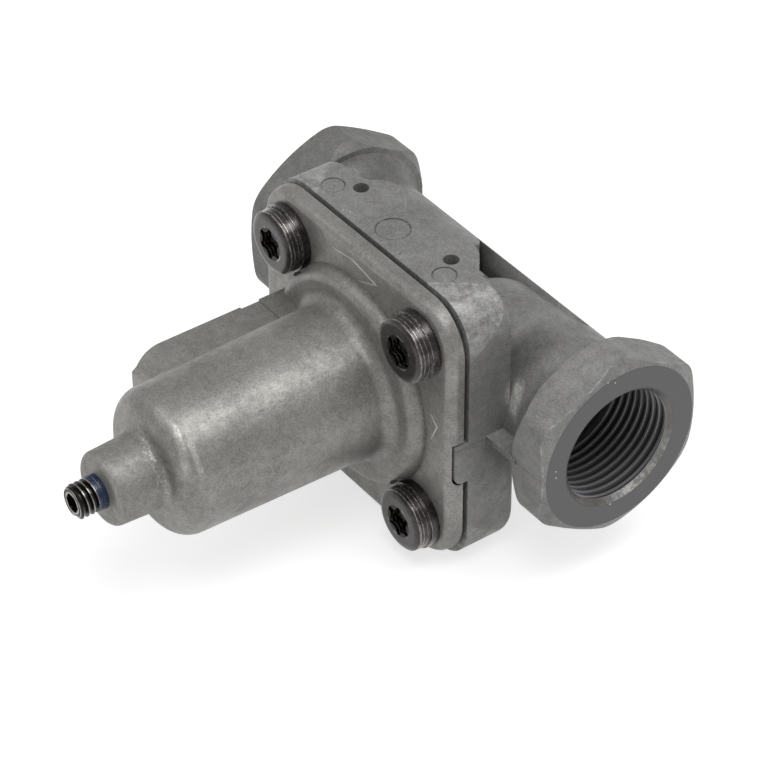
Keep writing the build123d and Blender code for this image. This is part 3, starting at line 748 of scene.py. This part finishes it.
def thread_finish(colours):
    """Cut thread: lighter on the crests, darker towards the roots, and the rough cone of the
    mouth.
    """
    material, shader = start_material("cut_thread", metallic=0.6)
    place, x, y, z = object_place(material)
    radius = radius_from(y, z)
    crest = fade(radius, *PORT_CREST)
    root = spread(radius, *PORT_ROOT, 1.0, 0.5)
    to_mouth = compute("ADD", beyond_ports(x), minus(port_radius, radius))
    mouth = spread(to_mouth, -0.12 * MM, -0.04 * MM)
    patches = noise(place, 0.8 * MM, 3.0, 0.7)
    # painted highlight: the mouth's cone is painted brighter in patches on its lower side, which
    # faces up to the light
    to_side = minus(multiply(y, 0.5), multiply(z, 0.87))
    painted_highlight = multiply(spread(patches, 0.35, 0.65, 1.0, 3.0),
                      spread(to_side, 6.0 * MM, 10.5 * MM, 0.15, 1.0))
    tone = choose(mouth, multiply(layer(1.25, (crest, 1.6)), root), layer(1.1, (painted_highlight, 1.0)))
    surface(
        shader, layer(noise(place, 0.25 * MM), (multiply(patches, mouth), 2.5)), 0.02 * MM,
        base_color=mix_colour(mouth, shade((*colours.cut_metal,), tone), CUT_WARMTH, "MULTIPLY"),
        roughness=layer(0.28, (patches, 0.2)))
    return material


def dark_oxide_finish(colours):
    """Oiled dark oxide: bright rings round each head, nicks at the socket and painted shade in it.
    """
    material, shader = start_material("dark_oxide", metallic=0.75, coat_roughness=0.2)
    place, x, y, z = object_place(material)
    # distance from the nearest screw's axis, since the four screws stand on a square
    across, up = (absolute(value) for value in (minus(x, valve_x), z))
    radius = radius_from(across, up, screw_offset, screw_offset)
    behind = minus(y, head_y)
    face = fade(behind, 0.4 * MM, 0.6 * MM)
    # painted shade: the socket's hole is painted almost black, and has no coat or bumps
    socket = fade(radius, 2.85 * MM, 3.0 * MM)
    patches = noise(place, 1.1 * MM, 4.0, 0.7)
    # the streaks run round the head, so their pattern is finer along its axis
    flattened = vector("MULTIPLY", place, (1.0, 7.0, 1.0))["Vector"]
    streaks = noise(flattened, 0.9 * MM, 3.0, 0.7)
    rings = highest(*(patch((behind, ring)) for ring in HEAD_RINGS))
    nicks = multiply(patch((radius, SOCKET_RIM)),
                     spread(noise(place, 1.6 * MM, 2.0, 0.6), 0.5, 0.6, 0.0, 0.7), face)
    bright = highest(multiply(rings, spread(streaks, 0.38, 0.62)), nicks)
    tone = multiply(layer(spread(patches, 0.3, 0.7, 0.2, 1.5), (streaks, 0.6)),
                    layer(1.0, (socket, -0.9)))
    height = layer(0.0, (rings, 0.7), (noise(place, 0.3 * MM, 3.0), 0.6), (streaks, 0.6))
    surface(
        shader, multiply(height, inverse(socket)), 0.035 * MM,
        base_color=mix_colour(
            multiply(bright, 0.8), shade((*colours.dark_oxide,), tone), WORN_HEAD),
        roughness=layer(0.12, (face, 0.16), (patches, 0.3)),
        coat_weight=layer(0.5, (socket, -0.48)))
    return material


def black_oxide_finish(colours):
    """Black oxide of the set screw, worn bright on the crests of its thread and at its end."""
    material, shader = start_material("black_oxide", metallic=0.8)
    place, x, y, z = object_place(material)
    radius = radius_from(x, z, valve_x)
    patches = noise(place, 0.7 * MM, 3.0, 0.7)
    crest = spread(radius, *SCREW_CREST)
    end = highest(*(patch((radius, edge)) for edge in SCREW_END_EDGES))
    end = multiply(end, fade(y, screw_low.y + 0.3 * MM, screw_low.y + 0.5 * MM))
    worn = multiply(highest(crest, end), spread(patches, 0.35, 0.6, 0.45, 1.0))
    colour = shade((*colours.black_oxide,), layer(0.4, (patches, 1.2)))
    surface(
        shader, noise(place, 0.25 * MM, 3.0), 0.02 * MM,
        base_color=mix_colour(worn, colour, WORN_THREAD), roughness=layer(0.15, (patches, 0.3)))
    return material


def thread_lock_finish(colours):
    """Dried blue lacquer, lumpy and glossy."""
    material, shader = start_material("thread_lock", roughness=0.4, coat_roughness=0.2)
    place = object_place(material)[0]
    lumps = noise(place, 0.3 * MM, 3.0, 0.7)
    colour = shade((*colours.thread_lock,), spread(lumps, 0.3, 0.7, 0.3, 2.0))
    chips = spread(noise(place, 0.45 * MM, 2.0, 0.7), 0.58, 0.68, 0.0, 0.4)
    surface(
        shader, lumps, 0.08 * MM, base_color=mix_colour(chips, colour, CHIPPED_LACQUER),
        coat_weight=spread(lumps, 0.4, 0.65, 0.05, 0.8))
    return material


def turned_finish(name, colour, metallic, roughness, feed_size, axis):
    """Turned metal whose tool marks run round the X or the Y axis."""
    material, shader = start_material(name, metallic=metallic)
    place, x, y, z = object_place(material)
    if axis == "X":
        along, radius = x, radius_from(y, z)
    else:
        along, radius = y, radius_from(x, z, valve_x)
    marks = use_group("Tool Marks", vector=place, distance=compute("ADD", radius, along),
                      feed=feed_size)
    stains = noise(place, 2.5 * MM, 3.0, 0.6)
    surface(
        shader, marks["Height"], 0.008 * MM,
        base_color=shade(colour, layer(0.9, (stains, 0.2), (marks["Shade"], 0.08))),
        roughness=layer(roughness - 0.07, (stains, 0.15)))
    return material


def spring_finish():
    """Drawn spring wire under a film of oil."""
    material, shader = start_material("spring_wire", metallic=0.95)
    place = object_place(material)[0]
    patches = noise(place, 1.5 * MM, 4.0, 0.7)
    surface(
        shader, noise(place, 0.2 * MM, 2.0, 0.6), 0.012 * MM,
        base_color=shade(WIRE, layer(0.7, (patches, 0.6))),
        roughness=layer(0.22, (patches, 0.2)))
    return material


def sintered_finish():
    """Sintered bronze: fused grains with dark pores between them."""
    material, shader = start_material("sintered_bronze", metallic=0.7)
    grains = add_node(material.node_tree, "ShaderNodeTexVoronoi", feature="F1")
    feed_labels(grains, vector=object_place(material)[0], scale=1.0 / (0.32 * MM))
    distance = grains.outputs["Distance"]
    surface(
        shader, inverse(distance), 0.12 * MM,
        base_color=mix_colour(spread(distance, 0.45, 0.75), BRONZE_GRAIN, BRONZE_PORE),
        roughness=spread(distance, 0.2, 0.8, 0.4, 0.85))
    return material


def rubber_finish():
    """Moulded rubber with a faint bloom and fine cloth showing through."""
    material, shader = start_material("rubber", specular_ior_level=0.1)
    place, x, _, z = object_place(material)
    bloom = noise(place, 4 * MM, 3.0, 0.6)
    threads = multiply(*(
        compute("SINE", multiply(value, FULL_TURN / CLOTH_PITCH)) for value in (x, z)))
    surface(
        shader, layer(0.5, (threads, 0.5)), 0.03 * MM,
        base_color=mix_colour(spread(bloom, 0.35, 0.75), RUBBER, RUBBER_BLOOM),
        roughness=layer(0.65, (bloom, 0.2)))
    return material


def finish_nodes(names, material):
    """Give CAD nodes a material of their own."""
    for name in names:
        materials = frame["nodes"][name].data.materials
        materials.clear()
        materials.append(material)


def finish_piece(piece, material, body):
    """Give a new piece its material and its body."""
    piece.data.materials.clear()
    piece.data.materials.append(material)
    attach(piece, body)


# Operators


class VALVE_OT_castings(bpy.types.Operator):
    """Finish the cast body and cover."""

    bl_idname = "valve.castings"
    bl_label = "Castings"

    def execute(self, context):
        colours = context.scene.valve_colours
        finish_nodes(["body"], body_finish(colours, context.scene.valve_sizes.parting_width))
        finish_nodes(["cover"], cover_finish(colours))
        return {"FINISHED"}


class VALVE_OT_cover_screws(bpy.types.Operator):
    """Finish the cover screws and their lock washers."""

    bl_idname = "valve.cover_screws"
    bl_label = "Cover screws"

    def execute(self, context):
        finish_nodes(cover_screws + lock_washers, dark_oxide_finish(context.scene.valve_colours))
        return {"FINISHED"}


class VALVE_OT_inner_parts(bpy.types.Operator):
    """Finish the parts inside the valve."""

    bl_idname = "valve.inner_parts"
    bl_label = "Inner parts"

    def execute(self, context):
        finish_nodes(["piston"],
                     turned_finish("turned_aluminium", ALUMINIUM, 0.9, 0.34, 0.2 * MM, "Y"))
        finish_nodes(["spring_plate"],
                     turned_finish("zinc_plate", ZINC, 0.9, 0.36, 0.25 * MM, "Y"))
        finish_nodes(["check_poppet", "check_retainer"],
                     turned_finish("turned_brass", BRASS, 0.95, 0.3, 0.18 * MM, "X"))
        finish_nodes(["pressure_spring", "check_spring", "retaining_ring"], spring_finish())
        finish_nodes(["diaphragm", "check_seal"], rubber_finish())
        finish_nodes(["vent_filter"], sintered_finish())
        return {"FINISHED"}


class VALVE_OT_port_threads(bpy.types.Operator):
    """Cut the threads of the two ports."""

    bl_idname = "valve.port_threads"
    bl_label = "Port threads"

    def execute(self, context):
        sizes = context.scene.valve_sizes
        pitch, lead = sizes.port_pitch, sizes.port_lead
        crest_radius = port_radius - PORT_THREAD_DEPTH * pitch
        root_radius = port_radius + PORT_RIDGE_SUNK
        turns = math.ceil(port_depth / pitch) + 1
        thread = thread_ridge("outlet_thread", root_radius, crest_radius, pitch * 7 / 8, pitch / 4,
                              pitch, turns, 72)
        # the ridge runs out past the port's face, where the mouth's cone cuts it off
        thread.location.x = body_high.x + 0.2 * MM - turns * pitch
        clear_selection()
        bpy.ops.mesh.primitive_cone_add(
            vertices=96, radius1=crest_radius - lead, radius2=crest_radius + 2 * lead,
            depth=3 * lead, rotation=(0, math.pi / 2, 0), location=(body_high.x - lead / 2, 0, 0))
        cut(thread, name_piece("mouth_cone"), "DIFFERENCE")
        thread = join([thread, self.add_mouth(lead, crest_radius, root_radius)], "outlet_thread")
        settle(thread)
        inlet = copy_piece(thread, "inlet_thread")
        inlet.rotation_euler.z = math.pi
        inlet.location.x = body_high.x + body_low.x
        settle(inlet)
        material = thread_finish(context.scene.valve_colours)
        for piece in (thread, inlet):
            finish_piece(piece, material, "housing")
        return {"FINISHED"}

    def add_mouth(self, lead, crest_radius, root_radius):
        """Spin the solid ring whose cone leads into the thread."""
        start_x, end_x = body_high.x - lead, body_high.x - 0.01 * MM
        ring = section("mouth_ring", (start_x + end_x) / 2, (root_radius + crest_radius) / 2,
                       end_x - start_x, root_radius - crest_radius)
        # the corner at the face moves out to the wall, which leaves the cone
        middle_radius = (port_radius + crest_radius) / 2
        select_where(ring, "VERT", lambda point: point.co.x > end_x - 0.1 * MM
                     and point.co.y < middle_radius)
        bpy.ops.transform.translate(value=(0, port_radius - 0.02 * MM - crest_radius, 0))
        bpy.ops.mesh.select_all(action="SELECT")
        bpy.ops.mesh.spin(steps=96, angle=FULL_TURN, center=(0, 0, 0), axis=(1, 0, 0))
        face_outwards()
        clear_selection()
        return ring


class VALVE_OT_set_screw(bpy.types.Operator):
    """Model the threaded set screw with its hexagon socket."""

    bl_idname = "valve.set_screw"
    bl_label = "Set screw"

    def execute(self, context):
        sizes = context.scene.valve_sizes
        pitch = sizes.screw_pitch
        length = screw_high.y - screw_low.y
        core_radius = screw_radius - SCREW_THREAD_DEPTH * pitch + 0.1 * MM
        core = round_bar("screw_core", core_radius, length, 48, 0.25 * MM)
        # the socket
        bpy.ops.mesh.primitive_cylinder_add(
            vertices=6, radius=sizes.screw_flats / math.sqrt(3), depth=6.8 * MM,
            rotation=(0, math.pi / 2, 0), location=(length, 0, 0))
        cut(core, name_piece("socket_tool"), "DIFFERENCE")
        # the ridge, kept to the screw's length and its pointed ends
        turns = math.ceil(length / pitch) + 1
        ridge = thread_ridge("screw_ridge", core_radius - SCREW_RIDGE_SUNK, screw_radius,
                             pitch * 0.8, pitch / 7, pitch, turns, 40)
        ridge.location.x = -0.4 * pitch
        blank = round_bar("screw_blank", screw_radius + 0.02 * MM, length, 64, 0.5 * MM)
        cut(ridge, blank, "INTERSECT")
        screw = join([core, ridge], "threaded_set_screw")
        screw.rotation_euler.z = -math.pi / 2
        screw.location = (valve_x, screw_high.y, 0)
        settle(screw)
        material = black_oxide_finish(context.scene.valve_colours)
        finish_piece(screw, material, "set_screw")
        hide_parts("set_screw")
        return {"FINISHED"}


class VALVE_OT_thread_lock(bpy.types.Operator):
    """Model the ring of lacquer that fills the set screw's thread at the nose."""

    bl_idname = "valve.thread_lock"
    bl_label = "Thread lock"

    def execute(self, context):
        sizes = context.scene.valve_sizes
        pitch = sizes.screw_pitch
        outer = screw_radius + LACQUER_OVER_CREST
        # two turns of the thread are filled, the second of them partly inside the nose
        front_y = nose_y - sizes.patch_length + pitch * 0.5
        rings = []
        for middle_y, length in ((front_y, pitch), (nose_y - 0.3 * MM, pitch * 1.15)):
            ring = section("lacquer_turn", valve_x + outer - LACQUER_DEPTH / 2, middle_y,
                           LACQUER_DEPTH, length)
            bpy.ops.mesh.bevel(offset=0.16 * MM, segments=3, affect="VERTICES")
            bpy.ops.mesh.delete(type="ONLY_FACE")
            bpy.ops.mesh.select_all(action="SELECT")
            bpy.ops.mesh.subdivide(number_cuts=3)
            bpy.ops.mesh.spin(
                steps=120, angle=FULL_TURN, center=(valve_x, middle_y, 0), axis=(0, 1, 0))
            face_outwards()
            bpy.ops.transform.vertex_random(offset=0.018 * MM, seed=4)
            clear_selection()
            rings.append(ring)
        ring = join(rings, "thread_lock_ring")
        settle(ring, 80)
        material = thread_lock_finish(context.scene.valve_colours)
        finish_piece(ring, material, "set_screw")
        return {"FINISHED"}


def raised_stroke(name, start, end, width, height):
    """One raised line on the cover's flange between two places, given as x and z."""
    middle = (start + end) / 2
    sunk = 0.1 * MM
    clear_selection()
    bpy.ops.mesh.primitive_cube_add(
        size=1, location=(valve_x + middle.x, cover_face_y - (height - sunk) / 2, middle.y),
        rotation=(0, -math.atan2(end.y - start.y, end.x - start.x), 0),
        scale=((end - start).length + width, height + sunk, width))
    stroke = name_piece(name)
    apply_place()
    edit(stroke)
    select_where(stroke, "FACE", lambda face: face.normal.y < -0.9)
    bpy.ops.mesh.bevel(offset=height * 0.7, segments=3)
    face_outwards()
    clear_selection()
    return stroke


class VALVE_OT_cast_marks(bpy.types.Operator):
    """Raise the flow arrow and the small chevron on the cover's flange."""

    bl_idname = "valve.cast_marks"
    bl_label = "Cast marks"

    def execute(self, context):
        sizes = context.scene.valve_sizes
        lines = [raised_stroke("mark_line", Vector(start) * MM, Vector(end) * MM, sizes.mark_width,
                               sizes.mark_height)
                 for corners in (ARROW, CHEVRON) for start, end in zip(corners, corners[1:])]
        marks = join(lines, "cast_marks")
        settle(marks, 50)
        finish_piece(marks, bpy.data.materials["cast_cover"], "housing")
        return {"FINISHED"}


class VALVE_OT_studio(bpy.types.Operator):
    """Set the camera, the floor and the lamps."""

    bl_idname = "valve.studio"
    bl_label = "Studio"

    def execute(self, context):
        studio = context.scene.valve_studio
        self.add_floor(studio)
        self.add_camera(context, studio)
        self.add_lamps(context, studio)
        context.scene.view_settings.view_transform = "Standard"
        return {"FINISHED"}

    def add_floor(self, studio):
        """Pale floor that shows white to the camera and keeps the valve's shadow."""
        clear_selection()
        bpy.ops.mesh.primitive_plane_add(
            size=studio.floor_size, location=(valve_x, nose_y / 2, frame_low.z - 0.1 * MM))
        floor = name_piece("floor")
        apply_place()
        material, shader = start_material(
            "floor_white", roughness=0.7, base_color=(0.5, 0.5, 0.5, 1),
            emission_color=(1, 1, 1, 1))
        rays = add_node(material.node_tree, "ShaderNodeLightPath").outputs
        seen = highest(*(rays[f"Is {kind} Ray"] for kind in ("Camera", "Glossy", "Transmission")))
        feed_labels(shader, emission_strength=multiply(seen, FLOOR_GLOW))
        floor.data.materials.append(material)

    def add_camera(self, context, studio):
        """Camera at the photograph's angle."""
        turn, rise, roll = studio.azimuth, studio.elevation, studio.roll
        level, lift = math.cos(rise), math.sin(rise)
        back = Vector((math.sin(turn) * level, -math.cos(turn) * level, lift))
        level_right = Vector((math.cos(turn), math.sin(turn), 0))
        level_up = back.cross(level_right)
        right = level_right * math.cos(roll) + level_up * math.sin(roll)
        up = level_up * math.cos(roll) - level_right * math.sin(roll)
        aim = Vector((valve_x, 0, 0)) + right * studio.aim_right + up * studio.aim_up
        camera = bpy.data.cameras.new("camera")
        camera.lens = studio.lens
        camera.sensor_width = 36
        camera.clip_start = 0.01
        holder = bpy.data.objects.new("camera", camera)
        holder.matrix_world = Matrix.Translation(aim + back * studio.distance) @ Matrix(
            (right, up, back)).transposed().to_4x4()
        context.scene.collection.objects.link(holder)
        context.scene.camera = holder

    def add_lamps(self, context, studio):
        """Plain room light and three softboxes."""
        world = bpy.data.worlds.new("room")
        world.use_nodes = True
        room = world.node_tree.nodes["Background"]
        room.inputs["Color"].default_value = (1, 1, 1, 1)
        room.inputs["Strength"].default_value = studio.ambient
        context.scene.world = world
        centre = Vector((valve_x, nose_y / 2, 0))
        for name, direction, size, power in SOFTBOXES:
            lamp = bpy.data.lights.new(name, "AREA")
            lamp.shape = "SQUARE"
            lamp.size = size
            lamp.energy = getattr(studio, power)
            side = Vector(direction)
            holder = bpy.data.objects.new(name, lamp)
            holder.location = centre + side.normalized() * LAMP_DISTANCE
            holder.rotation_euler = side.to_track_quat("Z", "Y").to_euler()
            context.scene.collection.objects.link(holder)


class VALVE_PT_looks(bpy.types.Panel):
    """Sidebar panel that lists the valve's pieces and their settings."""

    bl_label = "Overflow valve"
    bl_idname = "VALVE_PT_looks"
    bl_space_type = "VIEW_3D"
    bl_region_type = "UI"
    bl_category = "Valve"

    def draw(self, context):
        layout = self.layout
        for title, settings in (("Sizes", context.scene.valve_sizes),
                                ("Colours", context.scene.valve_colours),
                                ("Studio", context.scene.valve_studio)):
            box = layout.box()
            box.label(text=title)
            for name in settings.__annotations__:
                box.prop(settings, name)
        for operator in operators:
            layout.operator(operator.bl_idname)


operators = (
    VALVE_OT_castings,
    VALVE_OT_cover_screws,
    VALVE_OT_inner_parts,
    VALVE_OT_port_threads,
    VALVE_OT_set_screw,
    VALVE_OT_thread_lock,
    VALVE_OT_cast_marks,
    VALVE_OT_studio,
)
classes = (ValveSizes, ValveColours, StudioSettings) + operators + (VALVE_PT_looks,)


def register():
    for item in classes:
        bpy.utils.register_class(item)
    bpy.types.Scene.valve_sizes = bpy.props.PointerProperty(type=ValveSizes)
    bpy.types.Scene.valve_colours = bpy.props.PointerProperty(type=ValveColours)
    bpy.types.Scene.valve_studio = bpy.props.PointerProperty(type=StudioSettings)


def unregister():
    del bpy.types.Scene.valve_studio
    del bpy.types.Scene.valve_colours
    del bpy.types.Scene.valve_sizes
    for item in reversed(classes):
        bpy.utils.unregister_class(item)


def main():
    """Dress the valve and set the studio."""
    register()
    bpy.ops.valve.castings()
    bpy.ops.valve.cover_screws()
    bpy.ops.valve.inner_parts()
    bpy.ops.valve.port_threads()
    bpy.ops.valve.set_screw()
    bpy.ops.valve.thread_lock()
    bpy.ops.valve.cast_marks()
    bpy.ops.valve.studio()


if __name__ == "__main__":
    main()
